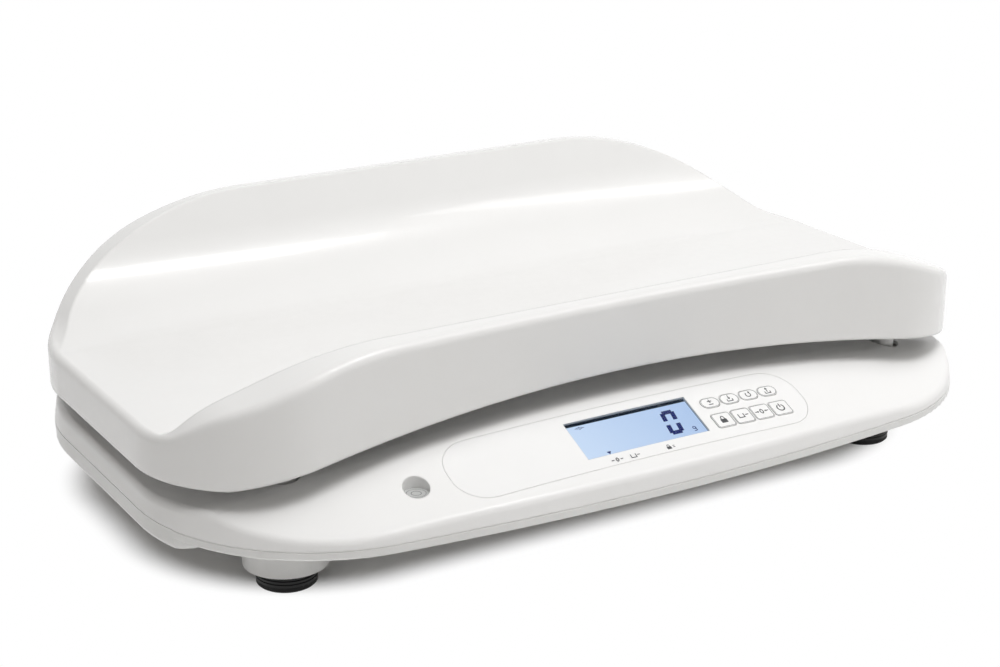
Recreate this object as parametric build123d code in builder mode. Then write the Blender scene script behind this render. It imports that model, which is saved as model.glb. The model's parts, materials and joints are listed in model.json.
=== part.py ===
from build123d import *
from math import asin, atan2, cos, degrees, hypot, radians, sin, sqrt, tan
import os

os.makedirs("parts", exist_ok=True)

# Millimetres, +X along the tray, -Y towards the reader of the display, +Z up,
# origin on the table under the middle of the scale.

# ---------------------------------------------------------------- driving sizes
# Base: a lower housing and a crowned top cover that meet at one seam.
base_length = 556.0
base_front_y = -181.0
base_back_y = 181.0
base_front_r = 1486.0  # bow of the front edge, seen from above
base_corner_r = 115.0
base_back_corner_r = 120.0
band_z = 38.8  # underside of the rim that runs right round
seam_z = 44.0
wall = 2.5
side_lean = 9.0  # degrees that the cover's sides lean inwards
belly_z = 32.0
belly_half_y = 98.0
belly_corner_r = 20.0
belly_round_r = 4.0
band_round_r = 1.5
seam_step = 0.5
dome_z = 81.0  # top of the cover
dome_r = 1942.0  # crown of the cover from end to end
dome_end_l, dome_end_r = 88.0, 560.0  # the crown bends down harder near the ends
console_y = -147.5  # middle of the sloping console, on its surface
console_z = 68.5
console_slope = 23.7
console_r = 2500.0
console_end_l, console_end_r = 153.0, 760.0
crease_r = 30.0
cover_edge_r = 5.0
tongue = 1.2
tongue_rise = 2.0
fit_gap = 0.15
body_gap = 0.3  # between pieces that move past each other

# Tray: a double-skinned moulding, a trough with a low front wall.
tray_length = 560.0
tray_front_y = -123.0
tray_back_y = 152.5
tray_front_r = 2000.0  # hollow of the front wall, seen from above
tray_corner_r = 72.0
tray_back_corner_r = 90.0
tray_end_z = 72.0
tray_arch_half = 250.0
tray_arch_rise = 23.0
tray_floor_z = 97.0
tray_skin = 3.5
tray_floor_skin = 5.0
tray_rim = 11.3
tray_back_rim = 9.0
trough_front_r = 14.0
trough_front_lean = 61.6
trough_back_r = 75.0
trough_back_lean = 62.0
rim_back_z = 160.0
rim_front_z = 139.0
crown_t = 4.0  # skin over the hollow of the rim, measured upright
back_shoulder_l = 80.0  # these lengths run inwards from the ends of the tray
back_shoulder_r = 200.0
back_foot_l, back_foot_z = 16.0, 100.3
back_foot_r = 30.0
front_shoulder_l = 94.0
front_shoulder_r = 190.0
front_knee_l, front_knee_z = 24.0, 112.7
front_knee_r = 60.0
lip_l = 8.0  # from the foot of the rims to the ends, where the floor rolls over
lip_rise = 0.6
lip_slope = 0.15
lip_r = 12.0
rim_round_r = 5.0
rib_t = 2.0
rib_h = 5.0
rib_l = 140.0
rib_pitch_x = 100.0

# Posts that carry the tray, on a spider over one load cell.
post_inset_x = 68.0  # from the ends of the tray
post_y = 116.0
cell_y = 9.0  # middle of the load cell and of the four posts
post_d = 14.0
post_flange_d, post_flange_t = 22.0, 3.0
post_screw_d = 4.0
post_hole_d = 20.0
cap_wall = 3.0
cap_top_z = 91.4
cap_h = 9.0
socket_wall = 2.5
spider_t = 4.0
spider_z = 56.5
arm_w = 24.0
hub_l, hub_w = 136.0, 46.0
cell_l, cell_w, cell_h = 130.0, 30.0, 22.0
cell_bore_d = 14.0
cell_bore_pitch = 26.0
spacer_l = 34.0
spacer_t = 2.0
plate_l, plate_w = 176.0, 76.0
plate_t = 3.0
plate_screw_d = 4.0
plate_screw_inset = 10.0
hex_socket = 5.0
hub_corner_r = 8.0
post_screw_bite = 12.0
platform_travel = 0.25
bolt_d = 6.0
bolt_pitch = 18.0
bolt_bite = 14.0
bolt_head_d, bolt_head_h = 10.0, 4.0
pan_z = 24.0
pan_margin = 4.0
stop_d = 6.0
stop_l = 16.0
stop_boss_d = 11.0
stop_boss_top_z = 50.0
stop_gap = 0.3
stop_x, stop_y = 104.0, 57.0

# Levelling feet.
foot_inset_x = 70.0
foot_inset_y = 84.6
foot_d = 37.0
foot_tip_d = 34.6
pad_h = 3.0
knob_top_z = 12.0
boss_z = 12.4
boss_tip_d = 49.0
boss_root_d = 53.0
stud_d = 8.0
stud_top_z = 40.0
insert_d = 13.0
insert_h = 14.0
collar_d = 12.0
socket_depth = 1.8
ring_count = 3
ring_depth = 0.8

# Display, keys and boards, in the plane of the console.
overlay_x0, overlay_x1 = -132.0, 112.0
overlay_v0, overlay_v1 = -23.5, 21.5
overlay_t = 0.6
overlay_corner_r = 20.0
lcd_x, lcd_v = -7.1, 0.0
lcd_w, lcd_h = 84.4, 29.8
frame_wall = 1.2
frame_lip = 0.5  # of the frame under the edge of the window
glass_lip = 3.0
glass_depth = 3.8  # to the edge of the glass, which lies under the cover
glass_face_depth = 1.5  # to its face, which stands up inside the frame
glass_t = 2.4
light_t = 2.8
board_t = 1.6
key_x0 = 48.6
key_pitch = 14.25
key_w = 13.0
oval_h, square_h = 8.0, 11.5
oval_v, square_v = 5.8, -9.3
key_corner_r = 2.0
key_gap = 0.35
key_proud = 0.25
key_travel = 0.4
key_flange = 0.9
flange_t = 0.8
dome_d, dome_t = 6.0, 0.4
sheet_t = 0.3
key_sag = 0.2  # bend of the skin under the key field
key_board_x0, key_board_x1 = 41.0, 101.0
key_board_v0, key_board_v1 = -21.5, 16.6
main_board_x0, main_board_x1 = -58.0, 56.0
main_board_half_v = 24.0
boss_d = 5.0
boss_inset = 2.7
screw_d = 2.2
screw_bite = 5.0
screw_head_d, screw_head_h = 4.2, 1.6
column_d = 9.0
cover_screw_d = 3.0
cover_screw_l = 10.0
cover_head_d, cover_head_h = 6.5, 2.2
buzzer_d, buzzer_h = 12.0, 5.0
header_l, header_w = 6.0, 16.0
plug_w, plug_l, plug_h = 8.0, 6.0, 4.0
plug_v = 15.0
plug_xs = {"cell": -30.0, "power": -8.0, "battery": 14.0}
header_x = 46.0
buzzer_x, buzzer_v = -46.0, 0.0
frame_flange_t = 0.5

# Circular level in its well.
level_x, level_y = -152.2, -147.0
well_d = 15.2
well_wall = 2.2
level_h = 8.0
level_top_z = 59.6
vial_d = 14.8
vial_wall = 1.0
bubble_d = 4.4

# Power.
battery_x, battery_y = 150.0, 12.0
aa_d, aa_l = 14.3, 50.5
aa_count = 4
aa_gap = 0.3
aa_end_space = 4.6
holder_wall = 1.6
contact_t = 0.5
door_grip = 12.0
jack_x = 140.0
jack_w, jack_l, jack_h = 10.0, 13.0, 9.5
jack_recess = 2.0
jack_bore_d = 6.3
jack_bore_l = 9.0
jack_pin_l = 7.0
jack_pin_d = 2.0
cable_d = 3.2
cable_dip = 34.0  # where a cable turns up to its plug, below the console's skin
aa_nub_d, aa_nub_h = 5.5, 1.0
contact_w = 12.0
spring_d, spring_taper = 9.0, 20.0

# ---------------------------------------------------------------- derived places
half_base = base_length / 2
half_tray = tray_length / 2
post_x = half_tray - post_inset_x
foot_x = half_base - foot_inset_x
foot_y = base_back_y - foot_inset_y
pan_l, pan_w = plate_l + 2 * pan_margin, plate_w + 2 * pan_margin
slope = radians(console_slope)
console_normal = (0, -sin(slope), cos(slope))
console = Plane(origin=(0, console_y, console_z), x_dir=(1, 0, 0), z_dir=console_normal)
crease_y = console_y + (dome_z - console_z) / tan(slope)

# The keys stand on a flat plane that touches the crown of the console behind them.
key_mid_x = key_x0 + 1.5 * key_pitch
key_lean = key_mid_x / console_r
key_plane = Plane(
    origin=console.from_local_coords((key_mid_x, 0, -key_mid_x * key_lean / 2)),
    x_dir=(1, key_lean * sin(slope), -key_lean * cos(slope)),
    z_dir=(key_lean, -sin(slope), cos(slope)),
)
flange_depth = wall + body_gap + key_sag
key_bottom = flange_depth + flange_t
sheet_depth = key_bottom + key_travel + 0.05 + dome_t
key_board_depth = sheet_depth + sheet_t
light_depth = glass_depth + glass_t
board_depth = light_depth + light_t

bolt_x = (cell_l - spacer_l) / 2
post_spots = [(sx * post_x, cell_y + sy * post_y) for sy in (-1, 1) for sx in (-1, 1)]
stop_spots = [(sx * stop_x, cell_y + sy * stop_y) for sy in (-1, 1) for sx in (-1, 1)]
front_screw_x, rear_screw_x = half_base - 48, half_base - 63
cover_screw_spots = [(-front_screw_x, -128), (front_screw_x, -128), (-100, -158), (118, -152)]
cover_screw_spots += [(-rear_screw_x, 146), (rear_screw_x, 146), (-70, 160), (70, 160)]
main_board_spots = [
    (x, sv * (main_board_half_v - boss_inset)) for x in (main_board_x0 + 8, 30) for sv in (-1, 1)
]
key_board_spots = [
    (x - key_mid_x, v)
    for x in (key_board_x0 + boss_inset + 1, key_board_x1 - boss_inset - 1)
    for v in (key_board_v0 + boss_inset, key_board_v1 - boss_inset)
]
lower_bolt_spots = [(-bolt_x + s * bolt_pitch / 2, cell_y) for s in (-1, 1)]
upper_bolt_spots = [(bolt_x + s * bolt_pitch / 2, cell_y) for s in (-1, 1)]
plate_screw_spots = [
    (sx * (plate_l / 2 - plate_screw_inset), cell_y + sy * (plate_w / 2 - plate_screw_inset))
    for sx in (-1, 1)
    for sy in (-1, 1)
]
standing = (Align.CENTER, Align.CENTER, Align.MIN)
feet = {
    "front_left": (-foot_x, -foot_y),
    "front_right": (foot_x, -foot_y),
    "rear_left": (-foot_x, foot_y),
    "rear_right": (foot_x, foot_y),
}
keys = {}
for column, (upper, lower) in enumerate(
    (("difference", "hold"), ("store", "tare"), ("mode", "zero"), ("recall", "power"))
):
    keys[upper] = ((column - 1.5) * key_pitch, oval_v, oval_h)
    keys[lower] = ((column - 1.5) * key_pitch, square_v, square_h)

belly_floor_z = belly_z + wall
band_floor_z = band_z + wall
plate_z = pan_z + wall
plate_top_z = plate_z + plate_t
cell_z = plate_top_z + spacer_t
cell_top_z = cell_z + cell_h
spider_top_z = spider_z + spider_t
floor_under_z = tray_floor_z - tray_floor_skin
post_top_z = cap_top_z - cap_wall
holder_l = aa_count * (aa_d + aa_gap) + aa_gap
holder_w = aa_l + 2 * aa_end_space
holder_h = aa_d + 2 * aa_gap
cell_mid_z = belly_floor_z + holder_h / 2
level_z = level_top_z - level_h
knob_z = pad_h + 0.1
main_bite = min(screw_bite, board_depth - wall)
key_bite = min(screw_bite, key_board_depth - wall)
jack_z = band_floor_z + 3
jack_y = base_back_y - jack_recess - jack_l  # inner end of the inlet
jack_mid_z = jack_z + jack_h / 2


def save(piece, name):
    piece.part.label = name
    export_step(piece.part, f"parts/{name}.step")


def base_plan(z, inset=0.0):
    """Outline of the base: straight ends and back, bowed front, wider corners at the back."""
    side_y = base_front_y + base_front_r - sqrt(base_front_r**2 - half_base**2)
    with BuildSketch(Plane.XY.offset(z), mode=Mode.PRIVATE) as plan:
        with BuildLine():
            front = ThreePointArc((-half_base, side_y), (0, base_front_y), (half_base, side_y))
            Polyline(front @ 1, (half_base, base_back_y), (-half_base, base_back_y), front @ 0)
        make_face()
        fillet(plan.vertices().group_by(Axis.Y)[0], base_corner_r)
        fillet(plan.vertices().group_by(Axis.Y)[-1], base_back_corner_r)
        if inset:
            offset(amount=-inset, kind=Kind.INTERSECTION)
    return plan.sketch


def crown_points(top_r, end_l, end_r, depth):
    """Seven points of a crown of three arcs, a given depth under its skin: x, and the drop."""
    bend_x = half_base - end_l
    bend = asin(bend_x / top_r)
    last = bend + 1.4 * end_l / end_r  # well past the end
    middle_x, middle_drop = bend_x - end_r * sin(bend), top_r - (top_r - end_r) * cos(bend)
    side = []
    for turn in (bend, (bend + last) / 2, last):
        radius = end_r - depth
        side.append((middle_x + radius * sin(turn), middle_drop - radius * cos(turn)))
    return [(-x, drop) for x, drop in reversed(side)] + [(0, depth)] + side


def crown_face(plane, points, foot):
    """The area between a crown and a straight foot, on an upright plane."""
    with BuildSketch(plane, mode=Mode.PRIVATE) as face:
        with BuildLine():
            for first in (0, 2, 4):
                ThreePointArc(*points[first:first + 3])
            Polyline(points[-1], (points[-1][0], foot), (points[0][0], foot), points[0])
        make_face()
    return face.sketch


def roof(depth):
    """All that lies deeper than this below the cover's crowned, sloping skin."""
    slope_plane = Plane(console.origin, x_dir=(1, 0, 0), z_dir=console.y_dir)
    dome_drops = crown_points(dome_r, dome_end_l, dome_end_r, depth)
    dome_points = [(x, dome_z - drop) for x, drop in dome_drops]
    slope_points = crown_points(console_r, console_end_l, console_end_r, depth)
    with BuildPart(mode=Mode.PRIVATE) as under:
        extrude(crown_face(Plane.XZ, dome_points, 0), amount=2 * base_back_y, both=True)
        extrude(crown_face(slope_plane, slope_points, 400), amount=4 * base_back_y, both=True,
                mode=Mode.INTERSECT)
        crease = under.edges().filter_by(
            lambda e: e.center().Z > seam_z and abs(e.center().Y) < -base_front_y
        )
        fillet(crease, crease_r - depth)
    return under.part


def cover_block(inset, depth):
    """The cover's outline, leaning inwards, up to a given depth below its skin."""
    with BuildPart(mode=Mode.PRIVATE) as block:
        extrude(base_plan(seam_z, inset), amount=dome_z - seam_z + wall, taper=side_lean)
        add(roof(depth), mode=Mode.INTERSECT)
    return block.part


def slab(plane, face, near, far):
    """A flat layer under a console face, from one depth to a deeper one."""
    with BuildPart(mode=Mode.PRIVATE) as layer:
        extrude(face.moved(Location(-near * plane.z_dir)), amount=near - far, dir=plane.z_dir)
    return layer.part


def skin_layer(face, near, far):
    """The same, but following the crown of the skin between two depths."""
    with BuildPart(mode=Mode.PRIVATE) as layer:
        extrude(face, amount=4 * wall + far, both=True)
        add(roof(near), mode=Mode.INTERSECT)
        add(roof(far), mode=Mode.SUBTRACT)
    return layer.part


def box_face(plane, x0, x1, v0, v1, corner=0.0):
    with BuildSketch(plane, mode=Mode.PRIVATE) as face:
        with Locations(((x0 + x1) / 2, (v0 + v1) / 2)):
            if corner:
                RectangleRounded(x1 - x0, v1 - v0, corner)
            else:
                Rectangle(x1 - x0, v1 - v0)
    return face.sketch


def dots(plane, spots, diameter):
    with BuildSketch(plane, mode=Mode.PRIVATE) as face:
        with Locations(list(spots)):
            Circle(diameter / 2)
    return face.sketch


def overlay_face(inset=0.0):
    with BuildSketch(console, mode=Mode.PRIVATE) as sheet:
        with Locations(((overlay_x0 + overlay_x1) / 2, (overlay_v0 + overlay_v1) / 2)):
            Rectangle(overlay_x1 - overlay_x0, overlay_v1 - overlay_v0)
        rows = sheet.vertices().group_by(Axis.Z)
        fillet(rows[0], overlay_corner_r)
        fillet(sheet.vertices().group_by(Axis.Z)[-1], overlay_corner_r / 4)
        if inset:
            offset(amount=-inset, kind=Kind.INTERSECTION)
    return sheet.sketch


def key_face(x, v, height, grow=0.0):
    """Ovals in the upper row, rounded squares in the lower row."""
    with BuildSketch(key_plane, mode=Mode.PRIVATE) as face:
        with Locations((x, v)):
            if height == oval_h:
                SlotOverall(key_w + 2 * grow, height + 2 * grow)
            else:
                RectangleRounded(key_w + 2 * grow, height + 2 * grow, key_corner_r + grow)
    return face.sketch


def window_face(grow=0.0):
    x, v, w, h = lcd_x, lcd_v, lcd_w / 2 + grow, lcd_h / 2 + grow
    return box_face(console, x - w, x + w, v - h, v + h)


# ---------------------------------------------------------------- base shells
cover_outer, cover_inner, under_skin = cover_block(0, 0), cover_block(wall, wall), roof(wall / 2)

with BuildPart() as cover_columns:
    extrude(dots(Plane.XY.offset(seam_z), cover_screw_spots, column_d), amount=dome_z)
    well_outer_d = well_d + 2 * well_wall
    well_floor_z = level_top_z - level_h - well_wall
    extrude(dots(Plane.XY.offset(well_floor_z), [(level_x, level_y)], well_outer_d), amount=dome_z)
    extrude(dots(console, main_board_spots, boss_d), amount=-board_depth)
    extrude(dots(key_plane, key_board_spots, boss_d), amount=-key_board_depth)
    add(under_skin, mode=Mode.INTERSECT)

with BuildPart() as recess:
    extrude(overlay_face(), amount=4 * wall, both=True)
    add(roof(overlay_t), mode=Mode.SUBTRACT)

with BuildPart() as top_cover:
    add(cover_outer)
    chamfer(top_cover.edges().group_by(Axis.Z)[0], seam_step)
    rim = top_cover.edges().filter_by(lambda e: e.center().Z > seam_z + wall)
    upright = rim.filter_by(lambda e: e.bounding_box().min.Z < seam_z + wall)
    fillet(rim - upright, cover_edge_r)
    add(cover_inner, mode=Mode.SUBTRACT)
    add(cover_columns.part)
    extrude(dots(Plane.XY, post_spots, post_hole_d), amount=2 * dome_z, mode=Mode.SUBTRACT)
    add(recess.part, mode=Mode.SUBTRACT)
    extrude(window_face(frame_wall), amount=4 * wall, both=True, mode=Mode.SUBTRACT)
    for x, v, height in keys.values():
        extrude(key_face(x, v, height, key_gap), amount=2 * wall, both=True, mode=Mode.SUBTRACT)
    well_bottom = Plane.XY.offset(level_top_z - level_h)
    extrude(dots(well_bottom, [(level_x, level_y)], well_d), amount=dome_z, mode=Mode.SUBTRACT)
    screw_starts = dots(Plane.XY.offset(seam_z), cover_screw_spots, cover_screw_d)
    extrude(screw_starts, amount=cover_screw_l, mode=Mode.SUBTRACT)
    for plane, spots, depth in (
        (console, main_board_spots, board_depth),
        (key_plane, key_board_spots, key_board_depth),
    ):
        pilot_l = min(screw_bite, depth - wall)
        holes = dots(plane.offset(-depth), spots, screw_d)
        extrude(holes, amount=pilot_l, mode=Mode.SUBTRACT)
    with Locations((jack_x, base_back_y, jack_z)):
        Box(jack_w + 2 * fit_gap, 8 * wall, 2 * (jack_h + fit_gap), mode=Mode.SUBTRACT)
save(top_cover, "top_cover")

def belly_block(z, inset):
    """The deeper middle of the housing, which runs out to both ends."""
    with BuildSketch(Plane.XY.offset(z), mode=Mode.PRIVATE) as plan:
        RectangleRounded(base_length - 2 * inset, 2 * (belly_half_y - inset), belly_corner_r - inset)
    with BuildPart(mode=Mode.PRIVATE) as block:
        extrude(base_plan(z, inset), amount=dome_z if inset else seam_z - z)
        extrude(plan.sketch, amount=dome_z, mode=Mode.INTERSECT)
    return block.part


belly_hollow = belly_block(belly_floor_z, wall)
with BuildPart() as belly:
    add(belly_block(belly_z, 0))
    fillet(belly.edges().group_by(Axis.Z)[0], belly_round_r)

tongue_inset = wall + fit_gap + tongue_rise * tan(radians(side_lean))
with BuildPart() as locating_tongue:
    extrude(base_plan(band_z, tongue_inset), amount=seam_z + tongue_rise - band_z)
    extrude(base_plan(band_z, tongue_inset + tongue), amount=dome_z, mode=Mode.SUBTRACT)

with BuildPart() as bottom_housing:
    extrude(base_plan(band_z), amount=seam_z - band_z)
    fillet(bottom_housing.edges().group_by(Axis.Z)[0], band_round_r)
    chamfer(bottom_housing.edges().group_by(Axis.Z)[-1], seam_step)
    add(belly.part)
    with Locations((0, cell_y, pan_z)):
        Box(pan_l, pan_w, belly_floor_z - pan_z, align=standing)
    with Locations([(x, y, boss_z) for x, y in feet.values()]):
        Cone(boss_tip_d / 2, boss_root_d / 2, band_floor_z - boss_z, align=standing)
    # Hollow it from above.
    extrude(base_plan(band_floor_z, wall), amount=dome_z, mode=Mode.SUBTRACT)
    add(belly_hollow, mode=Mode.SUBTRACT)
    with Locations((0, cell_y, plate_z)):
        Box(pan_l - 2 * wall, pan_w - 2 * wall, dome_z, align=standing, mode=Mode.SUBTRACT)
    with Locations([(x, y, boss_z + wall) for x, y in feet.values()]):
        Cone(boss_tip_d / 2 - wall, boss_root_d / 2 - wall, band_floor_z - boss_z,
             align=standing, mode=Mode.SUBTRACT)
    # Tongue, columns and bosses that stand in the hollow.
    add(locating_tongue.part)
    for spots, diameter, bottom, top in (
        (cover_screw_spots, column_d, band_z, seam_z),
        (stop_spots, stop_boss_d, belly_z, stop_boss_top_z),
        (feet.values(), insert_d + 2 * wall, boss_z, seam_z),
    ):
        extrude(dots(Plane.XY.offset(bottom), spots, diameter), amount=top - bottom)
    with Locations((jack_x, jack_y, band_z)):
        Box(jack_w, jack_l - 3 * tongue, jack_z - band_z,
            align=(Align.CENTER, Align.MIN, Align.MIN))
    # Bores and openings.
    for spots, diameter, bottom, top in (
        (stop_spots, stop_d, spider_z - stop_gap - stop_l, dome_z),
        (feet.values(), insert_d, 0, boss_z + insert_h),
        (feet.values(), stud_d + 1, 0, dome_z),
        (cover_screw_spots, cover_screw_d, 0, dome_z),
        (cover_screw_spots, cover_head_d + 2 * fit_gap, 0, band_z + cover_head_h),
        (lower_bolt_spots, bolt_head_d + 1, 0, plate_z),
        (plate_screw_spots, plate_screw_d, 0, plate_z),
    ):
        extrude(dots(Plane.XY.offset(bottom), spots, diameter), amount=top - bottom,
                mode=Mode.SUBTRACT)
    with Locations((battery_x, battery_y, belly_z)):
        Box(holder_l, holder_w, 4 * wall, mode=Mode.SUBTRACT)
    with Locations((jack_x, base_back_y, jack_z)):
        Box(jack_w + 2 * fit_gap, 8 * wall, jack_h, align=standing, mode=Mode.SUBTRACT)
save(bottom_housing, "bottom_housing")

with BuildPart() as housing_screws:
    screw_z = band_z + cover_head_h
    extrude(dots(Plane.XY.offset(band_z), cover_screw_spots, cover_head_d), amount=cover_head_h)
    extrude(dots(Plane.XY.offset(screw_z), cover_screw_spots, cover_screw_d),
            amount=seam_z + cover_screw_l - screw_z)
save(housing_screws, "housing_screws")

# ---------------------------------------------------------------- console
with BuildPart() as panel_overlay:
    add(skin_layer(overlay_face(fit_gap), 0, overlay_t))
    extrude(window_face(), amount=4 * wall, both=True, mode=Mode.SUBTRACT)
    for x, v, height in keys.values():
        extrude(key_face(x, v, height, key_gap), amount=2 * wall, both=True, mode=Mode.SUBTRACT)
save(panel_overlay, "panel_overlay")

with BuildPart() as lcd_lens:
    add(skin_layer(window_face(-fit_gap / 3), 0, overlay_t))
save(lcd_lens, "lcd_lens")

with BuildPart() as lcd_frame:
    extrude(window_face(frame_wall - fit_gap), amount=-glass_depth)
    add(roof(overlay_t), mode=Mode.INTERSECT)
    add(slab(console, window_face(glass_lip), glass_depth - frame_flange_t, glass_depth))
    extrude(window_face(-frame_lip), amount=4 * wall, both=True, mode=Mode.SUBTRACT)
save(lcd_frame, "lcd_frame")

with BuildPart() as lcd_glass:
    add(slab(console, window_face(glass_lip), glass_depth, light_depth))
    add(slab(console, window_face(-frame_lip - fit_gap), glass_face_depth, light_depth))
save(lcd_glass, "lcd_glass")

with BuildPart() as lcd_backlight:
    add(slab(console, window_face(glass_lip), light_depth, board_depth))
save(lcd_backlight, "lcd_backlight")

with BuildPart() as main_board:
    outline = box_face(console, main_board_x0, main_board_x1, -main_board_half_v, main_board_half_v)
    add(slab(console, outline, board_depth, board_depth + board_t))
    extrude(dots(console, main_board_spots, screw_d), amount=-dome_z, mode=Mode.SUBTRACT)
save(main_board, "main_board")

# Chips and capacitors on the underside of the main board: x, v, length, width, height.
chips = ((-8.0, -6.0, 14.0, 14.0, 1.6), (-28.0, -10.0, 8.0, 5.0, 1.5), (18.0, -12.0, 6.0, 4.0, 1.5),
         (20.0, -2.0, 10.0, 4.0, 3.5), (-22.0, 2.0, 4.0, 4.0, 2.0), (2.0, -18.0, 7.0, 3.0, 1.2))
under_board = board_depth + board_t
with BuildPart() as board_components:
    for x, v, length, width, height in chips:
        outline = box_face(console, x - length / 2, x + length / 2, v - width / 2, v + width / 2)
        add(slab(console, outline, under_board, under_board + height))
    for x in plug_xs.values():
        outline = box_face(console, x - plug_w / 2, x + plug_w / 2, plug_v - plug_l / 2,
                           plug_v + plug_l / 2)
        add(slab(console, outline, under_board, under_board + plug_h))
save(board_components, "board_components")

with BuildPart() as buzzer:
    add(slab(console, dots(console, [(buzzer_x, buzzer_v)], buzzer_d), under_board,
             under_board + buzzer_h))
    extrude(dots(console.offset(-under_board), [(buzzer_x, buzzer_v)], 2), amount=-dome_z,
            mode=Mode.SUBTRACT)
save(buzzer, "buzzer")

with BuildPart() as key_board:
    outline = box_face(key_plane, key_board_x0 - key_mid_x, key_board_x1 - key_mid_x,
                       key_board_v0, key_board_v1)
    add(slab(key_plane, outline, key_board_depth, key_board_depth + board_t))
    extrude(dots(key_plane, key_board_spots, screw_d), amount=-dome_z, mode=Mode.SUBTRACT)
save(key_board, "key_board")

# The pin header that joins the two boards reaches from one to the other.
with BuildPart() as board_header:
    outline = box_face(console, header_x, header_x + header_l, -header_w / 2, header_w / 2)
    header_top = key_mid_x * key_lean / 2 - (key_mid_x - header_x - header_l) * key_lean
    header_top += key_board_depth + board_t + key_lean * header_l + fit_gap
    add(slab(console, outline, header_top, board_depth))
save(board_header, "board_header")

with BuildPart() as switch_sheet:
    sheet_half_l = 1.5 * key_pitch + dome_d
    outline = box_face(key_plane, -sheet_half_l, sheet_half_l, square_v - dome_d, oval_v + 0.8 * dome_d)
    add(slab(key_plane, outline, sheet_depth, key_board_depth))
save(switch_sheet, "switch_sheet")

with BuildPart() as key_domes:
    centres = [(x, v) for x, v, height in keys.values()]
    add(slab(key_plane, dots(key_plane, centres, dome_d), sheet_depth - dome_t, sheet_depth))
save(key_domes, "key_domes")

# A cap passes the skin; the lips above and below it, under the skin, hold it in.
for name, (x, v, height) in keys.items():
    lip_w = key_w - height / 2
    lip_half = height / 2 + key_flange
    with BuildPart() as key:
        extrude(key_face(x, v, height), amount=key_proud)
        extrude(key_face(x, v, height), amount=-key_bottom)
        outline = box_face(key_plane, x - lip_w / 2, x + lip_w / 2, v - lip_half, v + lip_half)
        add(slab(key_plane, outline, flange_depth, key_bottom))
        top = key.faces().sort_by(Axis(key_plane.origin, key_plane.z_dir))[-1]
        fillet(top.edges(), key_proud * 0.8)
    save(key, f"key_{name}")

with BuildPart() as board_screws:
    for plane, spots, depth, thread in (
        (console, main_board_spots, board_depth, main_bite),
        (key_plane, key_board_spots, key_board_depth, key_bite),
    ):
        add(slab(plane, dots(plane, spots, screw_d), depth - thread, depth + board_t))
        add(slab(plane, dots(plane, spots, screw_head_d), depth + board_t,
                 depth + board_t + screw_head_h))
save(board_screws, "board_screws")

# Circular level: a clear vial in a well under the skin.
with BuildPart() as level_liquid:
    with Locations((level_x, level_y, level_z + vial_wall)):
        Cylinder(vial_d / 2 - vial_wall, level_h - 2 * vial_wall, align=standing)
    with Locations((level_x + 1, level_y, level_top_z - vial_wall)):
        Sphere(bubble_d / 2, mode=Mode.SUBTRACT)
save(level_liquid, "level_liquid")

with BuildPart() as level_vial:
    with Locations((level_x, level_y, level_z)):
        Cylinder(vial_d / 2, level_h, align=standing)
    with Locations((level_x, level_y, level_z + vial_wall)):
        Cylinder(vial_d / 2 - vial_wall, level_h - 2 * vial_wall, align=standing,
                 mode=Mode.SUBTRACT)
save(level_vial, "level_vial")

# ---------------------------------------------------------------- weighing mechanism
with BuildPart() as base_plate:
    with Locations((0, cell_y, plate_z)):
        Box(plate_l, plate_w, plate_t, align=standing)
    for spots, diameter in (
        (lower_bolt_spots, bolt_d),
        (plate_screw_spots, plate_screw_d),
    ):
        extrude(dots(Plane.XY, spots, diameter), amount=dome_z, mode=Mode.SUBTRACT)
save(base_plate, "base_plate")

with BuildPart() as plate_screws:
    extrude(dots(Plane.XY.offset(pan_z), plate_screw_spots, plate_screw_d),
            amount=plate_top_z - pan_z)
    extrude(dots(Plane.XY.offset(plate_top_z), plate_screw_spots, 2 * plate_screw_d),
            amount=plate_screw_d / 2)
save(plate_screws, "plate_screws")

with BuildPart() as lower_spacer:
    with Locations((-bolt_x, cell_y, plate_top_z)):
        Box(spacer_l, cell_w, spacer_t, align=standing)
    extrude(dots(Plane.XY, lower_bolt_spots, bolt_d), amount=dome_z, mode=Mode.SUBTRACT)
save(lower_spacer, "lower_spacer")

# A binocular bending beam: two cross bores joined by a slot leave thin flexing walls.
with BuildPart() as load_cell:
    with Locations((0, cell_y, cell_z)):
        Box(cell_l, cell_w, cell_h, align=standing)
    with BuildSketch(Plane.XZ.offset(-cell_y)):
        with Locations((0, cell_z + cell_h / 2)):
            with Locations((-cell_bore_pitch / 2, 0), (cell_bore_pitch / 2, 0)):
                Circle(cell_bore_d / 2)
            Rectangle(cell_bore_pitch, cell_bore_d / 3)
    extrude(amount=cell_w, both=True, mode=Mode.SUBTRACT)
    extrude(dots(Plane.XY.offset(cell_z), lower_bolt_spots, bolt_d), amount=bolt_bite,
            mode=Mode.SUBTRACT)
    extrude(dots(Plane.XY.offset(cell_top_z), upper_bolt_spots, bolt_d + 2 * body_gap),
            amount=-bolt_bite - platform_travel - body_gap, mode=Mode.SUBTRACT)
save(load_cell, "load_cell")

with BuildPart() as lower_bolts:
    extrude(dots(Plane.XY.offset(plate_z - bolt_head_h), lower_bolt_spots, bolt_head_d),
            amount=bolt_head_h)
    extrude(dots(Plane.XY.offset(plate_z), lower_bolt_spots, bolt_d),
            amount=cell_z + bolt_bite - plate_z)
    with BuildSketch(Plane.XY.offset(plate_z - bolt_head_h)):
        with Locations(lower_bolt_spots):
            RegularPolygon(hex_socket / 2, 6, major_radius=False)
    extrude(amount=bolt_head_h / 2, mode=Mode.SUBTRACT)
save(lower_bolts, "lower_bolts")

with BuildPart() as overload_stops:
    extrude(dots(Plane.XY.offset(spider_z - stop_gap - stop_l), stop_spots, stop_d), amount=stop_l)
save(overload_stops, "overload_stops")

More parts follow.
